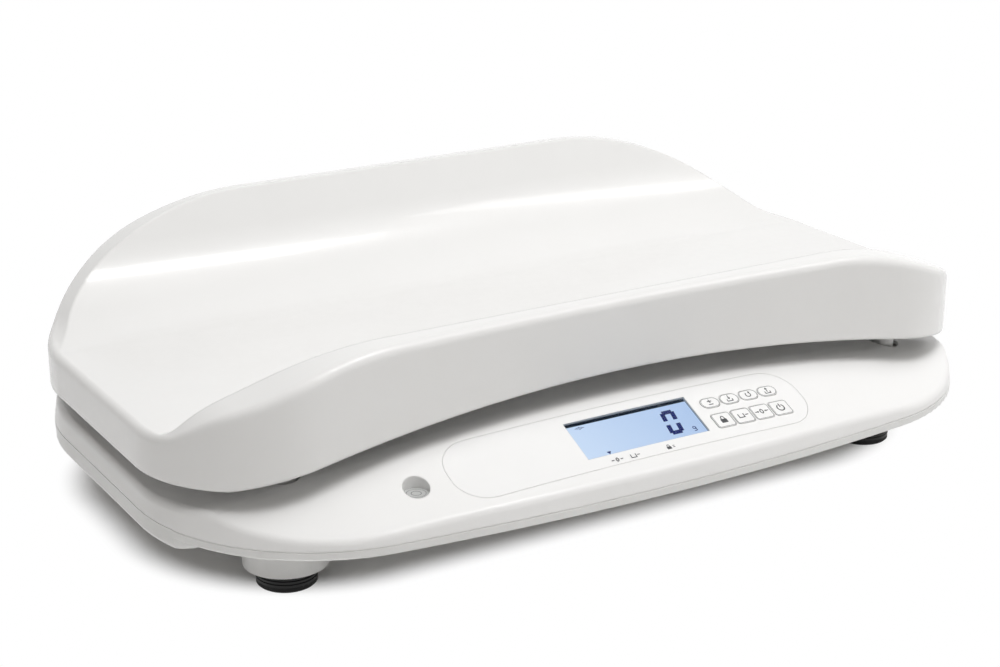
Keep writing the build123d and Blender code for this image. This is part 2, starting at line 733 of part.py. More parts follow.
# Everything from here up to the tray hangs on the free end of the cell.
with BuildPart() as upper_spacer:
    with Locations((bolt_x, cell_y, cell_top_z + body_gap)):
        Box(spacer_l, cell_w, spider_z - cell_top_z - body_gap, align=standing)
    extrude(dots(Plane.XY, upper_bolt_spots, bolt_d), amount=dome_z, mode=Mode.SUBTRACT)
save(upper_spacer, "upper_spacer")

with BuildPart() as platform_spider:
    with BuildSketch(Plane.XY.offset(spider_z)):
        with Locations((0, cell_y)):
            RectangleRounded(hub_l, hub_w, hub_corner_r)
            for turn in (-1, 1):
                arm = atan2(turn * post_y, post_x)
                SlotCenterToCenter(2 * hypot(post_x, post_y), arm_w, rotation=degrees(arm))
        for spots, diameter in (
            (upper_bolt_spots, bolt_d),
            (post_spots, post_screw_d),
        ):
            with Locations(spots):
                Circle(diameter / 2, mode=Mode.SUBTRACT)
    extrude(amount=spider_t)
save(platform_spider, "platform_spider")

with BuildPart() as upper_bolts:
    extrude(dots(Plane.XY.offset(spider_top_z), upper_bolt_spots, bolt_head_d), amount=bolt_head_h)
    extrude(dots(Plane.XY.offset(spider_top_z), upper_bolt_spots, bolt_d),
            amount=cell_top_z - bolt_bite - spider_top_z)
    with BuildSketch(Plane.XY.offset(spider_top_z + bolt_head_h)):
        with Locations(upper_bolt_spots):
            RegularPolygon(hex_socket / 2, 6, major_radius=False)
    extrude(amount=-bolt_head_h / 2, mode=Mode.SUBTRACT)
save(upper_bolts, "upper_bolts")

with BuildPart() as tray_posts:
    extrude(dots(Plane.XY.offset(spider_top_z), post_spots, post_flange_d), amount=post_flange_t)
    extrude(dots(Plane.XY.offset(spider_top_z), post_spots, post_d),
            amount=post_top_z - spider_top_z)
    extrude(dots(Plane.XY.offset(spider_top_z), post_spots, post_screw_d),
            amount=post_screw_bite, mode=Mode.SUBTRACT)
save(tray_posts, "tray_posts")

with BuildPart() as post_screws:
    extrude(dots(Plane.XY.offset(spider_z), post_spots, post_screw_d),
            amount=spider_t + post_screw_bite)
    extrude(dots(Plane.XY.offset(spider_z), post_spots, 2 * post_screw_d), amount=-post_screw_d / 2)
save(post_screws, "post_screws")

with BuildPart() as post_caps:
    cap_d = post_d + 2 * cap_wall
    extrude(dots(Plane.XY.offset(cap_top_z), post_spots, cap_d), amount=-cap_h)
    fillet(post_caps.edges().group_by(Axis.Z)[-1], cap_wall / 2)
    extrude(dots(Plane.XY.offset(post_top_z), post_spots, post_d), amount=-cap_h,
            mode=Mode.SUBTRACT)
save(post_caps, "post_caps")

# ---------------------------------------------------------------- levelling feet
with BuildPart() as foot_inserts:
    extrude(dots(Plane.XY.offset(boss_z), feet.values(), insert_d), amount=insert_h)
    extrude(dots(Plane.XY, feet.values(), stud_d + 2 * body_gap), amount=dome_z,
            mode=Mode.SUBTRACT)
save(foot_inserts, "foot_inserts")

for name, spot in feet.items():
    x, y = spot
    with BuildPart() as foot_pad:
        extrude(dots(Plane.XY, [spot], foot_tip_d), amount=pad_h)
        chamfer(foot_pad.edges().group_by(Axis.Z)[0], pad_h / 3)
        extrude(dots(Plane.XY.offset(pad_h - socket_depth), [spot], collar_d + 2 * body_gap),
                amount=pad_h, mode=Mode.SUBTRACT)
    save(foot_pad, f"foot_pad_{name}")

    with BuildPart() as foot_knob:
        with BuildSketch(Plane.XZ.offset(-y)):
            with BuildLine():
                Polyline((x, knob_z), (x + foot_tip_d / 2, knob_z), (x + foot_d / 2, knob_top_z),
                         (x, knob_top_z), (x, knob_z))
            make_face()
            for ring in range(1, ring_count + 1):
                height = knob_z + ring * (knob_top_z - knob_z) / (ring_count + 1)
                with Locations((x + foot_d / 2, height)):
                    Rectangle(4 * ring_depth, ring_depth, mode=Mode.SUBTRACT)
        revolve(axis=Axis((x, y, 0), (0, 0, 1)))
        extrude(dots(Plane.XY, [spot], stud_d), amount=dome_z, mode=Mode.SUBTRACT)
    save(foot_knob, f"foot_knob_{name}")

    with BuildPart() as foot_stud:
        extrude(dots(Plane.XY.offset(knob_z), [spot], stud_d), amount=stud_top_z - knob_z)
        extrude(dots(Plane.XY.offset(knob_z), [spot], collar_d), amount=body_gap - socket_depth)
        chamfer(foot_stud.edges().group_by(Axis.Z)[-1], stud_d / 8)
    save(foot_stud, f"foot_stud_{name}")

# ---------------------------------------------------------------- power
with BuildPart() as battery_holder:
    with Locations((battery_x, battery_y, belly_floor_z)):
        Box(holder_l + 2 * holder_wall, holder_w + 2 * holder_wall, holder_h + holder_wall,
            align=standing)
        Box(holder_l, holder_w, holder_h, align=standing, mode=Mode.SUBTRACT)
save(battery_holder, "battery_holder")

cell_xs = [battery_x + (i - (aa_count - 1) / 2) * (aa_d + aa_gap) for i in range(aa_count)]
with BuildPart() as battery_cells:
    for i, x in enumerate(cell_xs):
        ahead = (-1) ** i
        with BuildSketch(Plane.XZ.offset(ahead * aa_l / 2 - battery_y)):
            with Locations((x, cell_mid_z)):
                Circle(aa_d / 2)
        extrude(amount=-ahead * (aa_l - aa_nub_h))
        with BuildSketch(Plane.XZ.offset(-ahead * aa_l / 2 - battery_y)):
            with Locations((x, cell_mid_z)):
                Circle(aa_nub_d / 2)
        extrude(amount=ahead * aa_nub_h)
save(battery_cells, "battery_cells")

with BuildPart() as battery_contacts:
    for side in (-1, 1):
        end = side * holder_w / 2 - battery_y
        with BuildSketch(Plane.XZ.offset(end)):
            with Locations([(x, cell_mid_z) for x in cell_xs]):
                Rectangle(contact_w, contact_w)
        extrude(amount=-side * contact_t)
        with BuildSketch(Plane.XZ.offset(end - side * contact_t)):
            with Locations([(x, cell_mid_z) for x in cell_xs]):
                Circle(spring_d / 2)
        extrude(amount=-side * (aa_end_space - contact_t - fit_gap), taper=spring_taper)
save(battery_contacts, "battery_contacts")

with BuildPart() as battery_door:
    with Locations((battery_x, battery_y, belly_z)):
        Box(holder_l - 2 * body_gap, holder_w - 2 * body_gap, wall - body_gap, align=standing)
    with BuildSketch(Plane.XY.offset(belly_z)):
        with Locations((battery_x, battery_y - holder_w / 2 + door_grip)):
            SlotOverall(2 * door_grip, door_grip / 2)
    extrude(amount=wall / 2, mode=Mode.SUBTRACT)
save(battery_door, "battery_door")

with BuildPart() as dc_jack:
    with Locations((jack_x, jack_y, jack_z)):
        Box(jack_w, jack_l, jack_h, align=(Align.CENTER, Align.MIN, Align.MIN))
    mouth = Plane.XZ.offset(-jack_y - jack_l)
    extrude(dots(mouth, [(jack_x, jack_mid_z)], jack_bore_d), amount=jack_bore_l,
            mode=Mode.SUBTRACT)
    extrude(dots(mouth.offset(jack_bore_l), [(jack_x, jack_mid_z)], jack_pin_d),
            amount=-jack_pin_l)
save(dc_jack, "dc_jack")

# ---------------------------------------------------------------- cables
def plug_end(x):
    near = console.from_local_coords((x, plug_v, -cable_dip))
    return [near, console.from_local_coords((x, plug_v, -under_board - plug_h))]


cables = {
    "load_cell_cable": [(-cell_l / 2 - fit_gap, cell_y, 42.5), (-84, cell_y, 42.5), (-90, -20, 40),
                        (-84, -72, 40), (-52, -96, 44)] + plug_end(plug_xs["cell"]),
    "power_cable": [(jack_x, jack_y - fit_gap, jack_mid_z), (jack_x, 142, jack_mid_z), (108, 102, 44),
                    (92, 60, 38), (86, 10, 38), (88, -40, 38), (72, -80, 44), (30, -102, 44)]
    + plug_end(plug_xs["power"]),
    "battery_cable": [(battery_x - holder_l / 2 - holder_wall - fit_gap, -4, 44), (100, -4, 44),
                      (93.5, -42, 40), (82, -90, 44), (46, -104, 44)] + plug_end(plug_xs["battery"]),
}
for name, points in cables.items():
    route = [Vector(point) for point in points]
    runs = [after - before for before, after in zip(route, route[1:])]
    radii = [
        round(0.45 * min(a.length, b.length) / tan(radians(a.get_angle(b)) / 2), 1)
        for a, b in zip(runs, runs[1:])
    ]
    print(name, "radii", radii)
    with BuildPart() as cable:
        with BuildLine() as path:
            FilletPolyline(*route, radius=radii)
        with BuildSketch(Plane(origin=path.line @ 0, z_dir=path.line % 0)):
            Circle(cable_d / 2)
        sweep()
    save(cable, name)

# ---------------------------------------------------------------- tray
front_start_y, back_start_y = -40.0, 40.0
trough_top_z = rim_back_z + 10
front_lean, back_lean = radians(trough_front_lean), radians(trough_back_lean)
front_centre_z = tray_floor_z + trough_front_r
back_centre_z = tray_floor_z + trough_back_r
front_run = (rim_front_z - front_centre_z + trough_front_r * cos(front_lean)) / tan(front_lean)
back_run = (rim_back_z - back_centre_z + trough_back_r * cos(back_lean)) / tan(back_lean)
front_bend_y = tray_front_y + tray_rim + trough_front_r * sin(front_lean) + front_run
back_bend_y = tray_back_y - tray_back_rim - trough_back_r * sin(back_lean) - back_run


def trough_half(side, bend_y, centre_z, radius, lean, far_y, grow):
    """Half of the hollow's cross-section, grown outwards by a skin."""
    outer_r = radius + grow
    turn_y = bend_y + side * outer_r * sin(lean)
    turn_z = centre_z - outer_r * cos(lean)
    top_y = turn_y + side * (trough_top_z - turn_z) / tan(lean)
    middle = (bend_y + side * outer_r * sin(lean / 2), centre_z - outer_r * cos(lean / 2))
    with BuildSketch(Plane.YZ, mode=Mode.PRIVATE) as half:
        with BuildLine():
            ThreePointArc((bend_y, centre_z - outer_r), middle, (turn_y, turn_z))
            Polyline((turn_y, turn_z), (top_y, trough_top_z), (far_y, trough_top_z),
                     (far_y, centre_z - outer_r), (bend_y, centre_z - outer_r))
        make_face()
    return half.sketch


def trough(grow):
    """The hollow, straight from end to end: a steep front and a wide sweep up to the back."""
    with BuildPart(mode=Mode.PRIVATE) as hollow:
        for side, bend_y, centre_z, radius, lean, far_y in (
            (-1, front_bend_y, front_centre_z, trough_front_r, front_lean, back_start_y),
            (1, back_bend_y, back_centre_z, trough_back_r, back_lean, front_start_y),
        ):
            half = trough_half(side, bend_y, centre_z, radius, lean, far_y, grow)
            extrude(half, amount=half_tray + 30, both=True)
    return hollow.part


def tray_plan(inset=0.0):
    """Outline of the tray: hollow front, straight back and ends, round corners."""
    side_y = tray_front_y - tray_front_r + sqrt(tray_front_r**2 - half_tray**2)
    with BuildSketch(Plane.XY.offset(tray_end_z), mode=Mode.PRIVATE) as plan:
        with BuildLine():
            front = ThreePointArc((-half_tray, side_y), (0, tray_front_y), (half_tray, side_y))
            Polyline(front @ 1, (half_tray, tray_back_y), (-half_tray, tray_back_y), front @ 0)
        make_face()
        fillet(plan.vertices().group_by(Axis.Y)[0], tray_corner_r)
        fillet(plan.vertices().group_by(Axis.Y)[-1], tray_back_corner_r)
        if inset:
            offset(amount=-inset, kind=Kind.INTERSECTION)
    return plan.sketch


def above_rim(points, radii, side):
    """What lies above one rim line, drawn as seen from the front."""
    with BuildPart(mode=Mode.PRIVATE) as waste:
        with BuildSketch(Plane.XZ):
            with BuildLine():
                mirrored = [(-x, z) for x, z in reversed(points)]
                line = FilletPolyline(*mirrored, *points, radius=radii[::-1] + radii)
                Polyline(line @ 1, (half_tray + 60, 2 * rim_back_z), (-half_tray - 60, 2 * rim_back_z),
                         line @ 0)
            make_face()
        extrude(amount=-side * 2 * tray_back_y)
    return waste.part


# Both rim lines come down to one lip, which dips below the floor right at the ends.
lip_x = half_tray - lip_l
lip = [(lip_x, tray_floor_z + lip_rise), (2 * lip_x, tray_floor_z + lip_rise - lip_slope * lip_x)]
back_line = [(half_tray - back_shoulder_l, rim_back_z), (half_tray - back_foot_l, back_foot_z)] + lip
front_line = [(half_tray - front_shoulder_l, rim_front_z)]
front_line += [(half_tray - front_knee_l, front_knee_z)] + lip


def on_outline(edge):
    """Edges round the top of the outline, not those across the middle."""
    box = edge.bounding_box()
    across = box.size.X < 0.01 and box.max.X < lip_x and box.min.X > -lip_x
    return box.min.Z > tray_end_z + wall and not across and max(-box.min.Y, box.max.Y) > 0.01


with BuildPart() as tray_outer:
    extrude(tray_plan(), amount=trough_top_z - tray_end_z)
    add(above_rim(back_line, [back_shoulder_r, back_foot_r, lip_r], 1), mode=Mode.SUBTRACT)
    add(above_rim(front_line, [front_shoulder_r, front_knee_r, lip_r], -1), mode=Mode.SUBTRACT)
    fillet(tray_outer.edges().filter_by(on_outline), rim_round_r)

with BuildPart() as tray_arch:
    with BuildSketch(Plane.XZ):
        with BuildLine():
            arch = ThreePointArc((-tray_arch_half, tray_end_z), (0, tray_end_z + tray_arch_rise),
                                 (tray_arch_half, tray_end_z))
            Line(arch @ 1, arch @ 0)
        make_face()
    extrude(amount=2 * tray_back_y, both=True)

# The rim is closed over the hollow between the two skins.
with BuildPart() as tray_crown:
    add(tray_outer.part)
    add(tray_outer.part.moved(Location((0, 0, -crown_t))), mode=Mode.SUBTRACT)

with BuildPart() as tray_slab:
    add(tray_outer.part)
    add(trough(tray_floor_skin), mode=Mode.INTERSECT)

with BuildPart() as tray_fixings:
    extrude(dots(Plane.XY.offset(cap_top_z - cap_h + fit_gap), post_spots,
                 cap_d + 4 * body_gap + 2 * socket_wall), amount=dome_z)
    ribs = round(post_x / rib_pitch_x)
    for i in range(-ribs + 1, ribs):
        with Locations((i * rib_pitch_x, cell_y, floor_under_z - rib_h)):
            Box(rib_t, rib_l, 2 * rib_h, align=standing)
    with Locations((0, cell_y - rib_l / 3, floor_under_z - rib_h),
                   (0, cell_y + rib_l / 3, floor_under_z - rib_h)):
        Box(2 * ribs * rib_pitch_x, rib_t, 2 * rib_h, align=standing)
    add(tray_outer.part, mode=Mode.INTERSECT)

with BuildPart() as tray:
    add(tray_outer.part)
    extrude(tray_plan(tray_skin), amount=trough_top_z, mode=Mode.SUBTRACT)
    add(tray_arch.part, mode=Mode.SUBTRACT)
    add(tray_slab.part)
    add(tray_crown.part)
    add(tray_fixings.part)
    extrude(dots(Plane.XY, post_spots, cap_d + 4 * body_gap), amount=cap_top_z + body_gap,
            mode=Mode.SUBTRACT)
    add(trough(0), mode=Mode.SUBTRACT)
save(tray, "tray")
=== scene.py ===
import json
from math import cos, degrees, radians, sin

import bpy
from mathutils import Matrix, Vector


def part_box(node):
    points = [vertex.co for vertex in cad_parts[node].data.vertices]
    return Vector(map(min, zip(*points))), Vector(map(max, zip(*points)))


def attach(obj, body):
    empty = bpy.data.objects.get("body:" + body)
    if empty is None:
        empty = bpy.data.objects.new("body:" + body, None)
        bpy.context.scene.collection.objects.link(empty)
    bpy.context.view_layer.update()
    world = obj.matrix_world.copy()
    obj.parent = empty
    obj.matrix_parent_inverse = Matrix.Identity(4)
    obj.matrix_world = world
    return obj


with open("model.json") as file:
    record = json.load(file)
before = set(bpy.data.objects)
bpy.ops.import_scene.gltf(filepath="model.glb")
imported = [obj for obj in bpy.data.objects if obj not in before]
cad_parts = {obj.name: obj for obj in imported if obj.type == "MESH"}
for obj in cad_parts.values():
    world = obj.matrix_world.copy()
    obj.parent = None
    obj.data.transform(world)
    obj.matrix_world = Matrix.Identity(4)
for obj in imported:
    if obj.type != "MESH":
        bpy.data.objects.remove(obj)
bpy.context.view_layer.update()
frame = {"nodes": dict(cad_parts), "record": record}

nodes = frame["nodes"]
bpy.ops.object.select_all(action="DESELECT")
print("frame loaded:", len(nodes), "pieces")

# ---- camera
shot = {
    "place": (-0.6340, -1.0435, 0.5109),
    "lookAt": (-0.00838, 0.005, 0.07978),
    "lens": 73.33,
}
bpy.ops.object.camera_add(location=shot["place"])
camera = bpy.context.object
camera.rotation_euler = (Vector(shot["lookAt"]) - camera.location).to_track_quat("-Z", "Y").to_euler()
camera.data.lens = shot["lens"]
camera.data.clip_start = 0.01
bpy.context.scene.camera = camera

# ---- studio
studio = {
    "floorSize": 24.0,
    "floorColour": (0.95, 0.945, 0.94, 1),
    "shadowMiddle": (0.0, 0.026, 0.0),  # the shadow under the scale is a round-cornered patch
    "shadowHalf": (0.267, 0.149, 0.0),
    "shadowCorner": 0.115,
    "shadowFade": (-0.016, 0.013),
    "roomLight": 0.27,
    "roomColour": (1.0, 0.975, 0.945, 1),
    "lamps": [  # place, aim, width, height, watts, what it lights
        ((0.25, -0.42, 2.0), (0, 0, 0.08), 1.3, 0.9, 30.0, "matt"),
        ((1.6, -0.5, 0.6), (0, 0, 0.1), 0.5, 1.4, 3.6, "matt"),
        ((0.55, -0.68, 2.0), (0, 0, 0.1), 0.75, 0.26, 7.0, "gloss"),
        ((1.45, -0.68, 2.0), (0, 0, 0.1), 1.05, 0.2, 3.5, "gloss"),
    ],
}


def backgroundRays(tree):
    # 1 where the eye, a reflection or clear plastic sees the surface
    rays = tree.nodes.new("ShaderNodeLightPath")
    total = rays.outputs["Is Camera Ray"]
    for kind in ("Is Glossy Ray", "Is Transmission Ray"):
        plus = tree.nodes.new("ShaderNodeMath")
        plus.operation = "ADD"
        plus.use_clamp = True
        tree.links.new(total, plus.inputs[0])
        tree.links.new(rays.outputs[kind], plus.inputs[1])
        total = plus.outputs[0]
    return total


def patchDistance(tree):
    # how far a spot on the floor lies outside the round-cornered patch
    last = tree.nodes.new("ShaderNodeTexCoord").outputs["Object"]
    corner = Vector((studio["shadowCorner"], studio["shadowCorner"], 0))
    for operation, other in (("SUBTRACT", studio["shadowMiddle"]), ("ABSOLUTE", None),
                             ("SUBTRACT", Vector(studio["shadowHalf"]) - corner), ("MAXIMUM", (0, 0, 0))):
        step = tree.nodes.new("ShaderNodeVectorMath")
        step.operation = operation
        tree.links.new(last, step.inputs[0])
        if other:
            step.inputs[1].default_value = other
        last = step.outputs["Vector"]
    reach = tree.nodes.new("ShaderNodeVectorMath")
    reach.operation = "LENGTH"
    tree.links.new(last, reach.inputs[0])
    out = tree.nodes.new("ShaderNodeMath")
    out.operation = "SUBTRACT"
    out.inputs[1].default_value = studio["shadowCorner"]
    tree.links.new(reach.outputs["Value"], out.inputs[0])
    return out.outputs[0]


def makeStudio():
    world = bpy.data.worlds.new("studioRoom")
    bpy.context.scene.world = world
    world.use_nodes = True
    tree = world.node_tree
    room = tree.nodes["Background"]
    room.inputs["Color"].default_value = studio["roomColour"]
    room.inputs["Strength"].default_value = studio["roomLight"]
    white = tree.nodes.new("ShaderNodeBackground")
    white.inputs["Color"].default_value = (1, 1, 1, 1)
    white.inputs["Strength"].default_value = 1.0
    mix = tree.nodes.new("ShaderNodeMixShader")
    tree.links.new(backgroundRays(tree), mix.inputs[0])
    tree.links.new(room.outputs[0], mix.inputs[1])
    tree.links.new(white.outputs[0], mix.inputs[2])
    tree.links.new(mix.outputs[0], tree.nodes["World Output"].inputs["Surface"])

    bpy.ops.mesh.primitive_plane_add(size=studio["floorSize"])
    floor = bpy.context.object
    floor.name = "studioFloor"
    paper = bpy.data.materials.new("floorPaper")
    paper.use_nodes = True
    tree = paper.node_tree
    tree.nodes.remove(tree.nodes["Principled BSDF"])
    matt = tree.nodes.new("ShaderNodeBsdfDiffuse")
    matt.inputs["Color"].default_value = studio["floorColour"]
    glow = tree.nodes.new("ShaderNodeEmission")
    fade = tree.nodes.new("ShaderNodeMapRange")
    fade.interpolation_type = "SMOOTHSTEP"
    fade.inputs["From Min"].default_value = studio["shadowFade"][0]
    fade.inputs["From Max"].default_value = studio["shadowFade"][1]
    tree.links.new(patchDistance(tree), fade.inputs["Value"])
    share = tree.nodes.new("ShaderNodeMath")
    share.operation = "MULTIPLY"
    tree.links.new(fade.outputs["Result"], share.inputs[0])
    tree.links.new(backgroundRays(tree), share.inputs[1])
    mix = tree.nodes.new("ShaderNodeMixShader")
    tree.links.new(share.outputs[0], mix.inputs[0])
    tree.links.new(matt.outputs[0], mix.inputs[1])
    tree.links.new(glow.outputs[0], mix.inputs[2])
    side = tree.nodes.new("ShaderNodeNewGeometry")  # nothing shows from under the floor
    clear = tree.nodes.new("ShaderNodeBsdfTransparent")
    ends = tree.nodes.new("ShaderNodeMixShader")
    tree.links.new(side.outputs["Backfacing"], ends.inputs[0])
    tree.links.new(mix.outputs[0], ends.inputs[1])
    tree.links.new(clear.outputs[0], ends.inputs[2])
    tree.links.new(ends.outputs[0], tree.nodes["Material Output"].inputs["Surface"])
    floor.data.materials.append(paper)

    for place, aim, width, height, watts, lit in studio["lamps"]:
        bpy.ops.object.light_add(type="AREA", location=place)
        lamp = bpy.context.object
        lamp.rotation_euler = (Vector(aim) - lamp.location).to_track_quat("-Z", "Y").to_euler()
        lamp.data.shape = "RECTANGLE"
        lamp.data.size = width
        lamp.data.size_y = height
        lamp.data.energy = watts
        lamp.visible_diffuse = lit == "matt"
        lamp.visible_glossy = lit == "gloss"
        lamp.visible_transmission = False


makeStudio()
bpy.context.scene.view_settings.view_transform = "Standard"
print("studio made")

# ---- finishes
# Every finish is one entry: two close tones, a range of gloss, a fine grain and a broad, faint unevenness.
finishes = {
    "tray_white": {"tone": (0.872, 0.869, 0.86), "shade": (0.862, 0.859, 0.849), "rough": (0.2, 0.27),
                   "coat": 0.3, "grain": (900, 0.00002), "wave": (16, 0.0003), "soften": 0.003},
    "base_white": {"tone": (0.9, 0.897, 0.89), "shade": (0.89, 0.887, 0.878), "rough": (0.3, 0.38),
                   "coat": 0.1, "grain": (1100, 0.00003), "wave": (18, 0.0003), "soften": 0.0012},
    "housing_white": {"tone": (0.82, 0.82, 0.81), "shade": (0.8, 0.8, 0.785), "rough": (0.3, 0.42),
                      "grain": (1500, 0.00008), "wave": (18, 0.0003)},
    "holder_plastic": {"tone": (0.05, 0.05, 0.052), "shade": (0.035, 0.035, 0.036), "rough": (0.4, 0.55),
                       "grain": (1400, 0.0001)},
    "overlay_film": {"tone": (0.905, 0.904, 0.899), "shade": (0.895, 0.894, 0.888), "rough": (0.34, 0.38),
                     "coat": 0.1, "grain": (1100, 0.00003), "wave": (18, 0.0003), "soften": 0.0003},
    "key_film": {"tone": (0.905, 0.904, 0.899), "shade": (0.895, 0.894, 0.888), "rough": (0.34, 0.38),
                 "coat": 0.1, "grain": (1100, 0.00003), "wave": (18, 0.0003), "soften": 0.0003},
    "clear_window": {"tone": (0.99, 0.995, 1.0), "shade": (0.98, 0.99, 1.0), "rough": (0.02, 0.05),
                     "clear": 1.0, "ior": 1.12, "grain": (700, 0.000004)},
    "window_edge": {"tone": (0.42, 0.47, 0.54), "shade": (0.37, 0.42, 0.49), "rough": (0.4, 0.5),
                    "grain": (1600, 0.00006)},
    "black_plastic": {"tone": (0.012, 0.012, 0.014), "shade": (0.02, 0.02, 0.022), "rough": (0.28, 0.4),
                      "grain": (1600, 0.00006)},
    "backlight_plastic": {"tone": (0.8, 0.84, 0.9), "shade": (0.76, 0.8, 0.88), "rough": (0.4, 0.5),
                          "grain": (900, 0.0001)},
    "board_green": {"tone": (0.02, 0.16, 0.06), "shade": (0.015, 0.11, 0.04), "rough": (0.3, 0.45),
                    "grain": (1800, 0.0001)},
    "component_black": {"tone": (0.02, 0.02, 0.02), "shade": (0.035, 0.035, 0.036), "rough": (0.45, 0.6),
                        "grain": (2500, 0.0001)},
    "silicone": {"tone": (0.6, 0.62, 0.62), "shade": (0.55, 0.57, 0.58), "rough": (0.5, 0.62),
                 "grain": (900, 0.0001)},
    "spring_steel": {"tone": (0.62, 0.61, 0.58), "shade": (0.5, 0.5, 0.48), "rough": (0.22, 0.36),
                     "metal": 1.0, "grain": (1200, 0.00006)},
    "zinc_steel": {"tone": (0.66, 0.66, 0.65), "shade": (0.52, 0.53, 0.54), "rough": (0.24, 0.42),
                   "metal": 1.0, "grain": (1500, 0.00012)},
    "vial_clear": {"tone": (0.83, 0.84, 0.83), "shade": (0.78, 0.79, 0.78), "rough": (0.08, 0.14),
                   "clear": 0.35, "ior": 1.3, "grain": (900, 0.00001)},
    "vial_liquid": {"tone": (0.8, 0.84, 0.78), "shade": (0.76, 0.81, 0.74), "rough": (0.05, 0.1),
                    "clear": 0.2, "ior": 1.33, "grain": (200, 0.000001)},
    "cell_alloy": {"tone": (0.7, 0.71, 0.72), "shade": (0.6, 0.61, 0.63), "rough": (0.3, 0.45),
                   "metal": 1.0, "grain": (600, 0.0001)},
    "plate_steel": {"tone": (0.55, 0.56, 0.57), "shade": (0.45, 0.46, 0.48), "rough": (0.35, 0.5),
                    "metal": 1.0, "grain": (500, 0.0001)},
    "post_plastic": {"tone": (0.78, 0.78, 0.77), "shade": (0.74, 0.74, 0.73), "rough": (0.3, 0.42),
                     "grain": (1200, 0.00006)},
    "cap_rubber": {"tone": (0.05, 0.05, 0.05), "shade": (0.035, 0.035, 0.035), "rough": (0.6, 0.75),
                   "grain": (1500, 0.0002)},
    "foot_rubber": {"tone": (0.008, 0.008, 0.008), "shade": (0.014, 0.0135, 0.013), "rough": (0.55, 0.75),
                    "ior": 1.3, "grain": (1800, 0.0002)},
    "foot_black": {"tone": (0.007, 0.007, 0.007), "shade": (0.012, 0.012, 0.012), "rough": (0.36, 0.5),
                   "ior": 1.35, "grain": (1800, 0.0001)},
    "brass": {"tone": (0.78, 0.58, 0.28), "shade": (0.62, 0.44, 0.2), "rough": (0.25, 0.4),
              "metal": 1.0, "grain": (1500, 0.0001)},
    "battery_wrap": {"tone": (0.05, 0.06, 0.08), "shade": (0.04, 0.05, 0.065), "rough": (0.25, 0.35),
                     "grain": (600, 0.00004)},
    "contact_metal": {"tone": (0.75, 0.74, 0.7), "shade": (0.6, 0.6, 0.57), "rough": (0.2, 0.32),
                      "metal": 1.0, "grain": (1500, 0.00006)},
    "cable_grey": {"tone": (0.2, 0.2, 0.21), "shade": (0.16, 0.16, 0.17), "rough": (0.45, 0.6),
                   "grain": (1500, 0.00012)},
    "print_ink": {"tone": (0.055, 0.057, 0.062), "shade": (0.09, 0.092, 0.1), "rough": (0.4, 0.5),
                  "grain": (2600, 0.00003)},
    "outline_ink": {"tone": (0.2, 0.205, 0.215), "shade": (0.27, 0.275, 0.285), "rough": (0.4, 0.5),
                    "grain": (2600, 0.00003)},
    "segment_ink": {"tone": (0.02, 0.032, 0.17), "shade": (0.026, 0.04, 0.19), "rough": (0.5, 0.6),
                    "ior": 1.1, "grain": (2000, 0.00002)},
    "display_shade": {"tone": (0.004, 0.012, 0.026), "shade": (0.008, 0.018, 0.034), "rough": (0.5, 0.6),
                      "ior": 1.1, "grain": (2000, 0.00002)},
}


texture = {"toneScale": 22, "glossScale": 154, "coatRough": 0.05, "bevelSamples": 6}


def noiseField(tree, place, scale, detail):
    field = tree.nodes.new("ShaderNodeTexNoise")
    field.inputs["Scale"].default_value = scale
    field.inputs["Detail"].default_value = detail
    tree.links.new(place.outputs["Object"], field.inputs["Vector"])
    return field.outputs["Fac"]


def makeFinish(name, look):
    material = bpy.data.materials.new(name)
    material.use_nodes = True
    tree = material.node_tree
    shader = tree.nodes["Principled BSDF"]
    place = tree.nodes.new("ShaderNodeTexCoord")
    drift = noiseField(tree, place, texture["toneScale"], 4)
    ramp = tree.nodes.new("ShaderNodeValToRGB")
    ramp.color_ramp.elements[0].position = 0.35
    ramp.color_ramp.elements[0].color = (*look["tone"], 1)
    ramp.color_ramp.elements[1].position = 0.7
    ramp.color_ramp.elements[1].color = (*look["shade"], 1)
    tree.links.new(drift, ramp.inputs[0])
    tree.links.new(ramp.outputs["Color"], shader.inputs["Base Color"])
    gloss = tree.nodes.new("ShaderNodeMapRange")
    gloss.inputs["From Min"].default_value = 0.3
    gloss.inputs["From Max"].default_value = 0.7
    gloss.inputs["To Min"].default_value = look["rough"][0]
    gloss.inputs["To Max"].default_value = look["rough"][1]
    tree.links.new(noiseField(tree, place, texture["glossScale"], 6), gloss.inputs["Value"])
    tree.links.new(gloss.outputs["Result"], shader.inputs["Roughness"])
    shader.inputs["Metallic"].default_value = look.get("metal", 0.0)
    shader.inputs["IOR"].default_value = look.get("ior", 1.5)
    shader.inputs["Transmission Weight"].default_value = look.get("clear", 0.0)
    shader.inputs["Coat Weight"].default_value = look.get("coat", 0.0)
    shader.inputs["Coat Roughness"].default_value = texture["coatRough"]
    normal = None
    if "soften" in look:  # rounds the light on sharp edges
        edge = tree.nodes.new("ShaderNodeBevel")
        edge.samples = texture["bevelSamples"]
        edge.inputs["Radius"].default_value = look["soften"]
        normal = edge.outputs["Normal"]
    for key in ("wave", "grain"):
        if key in look:
            bump = tree.nodes.new("ShaderNodeBump")
            bump.inputs["Strength"].default_value = 1.0
            bump.inputs["Distance"].default_value = look[key][1]
            tree.links.new(noiseField(tree, place, look[key][0], 2), bump.inputs["Height"])
            if normal:
                tree.links.new(normal, bump.inputs["Normal"])
            normal = bump.outputs["Normal"]
    tree.links.new(normal, shader.inputs["Normal"])
    return material


made = {name: makeFinish(name, look) for name, look in finishes.items()}


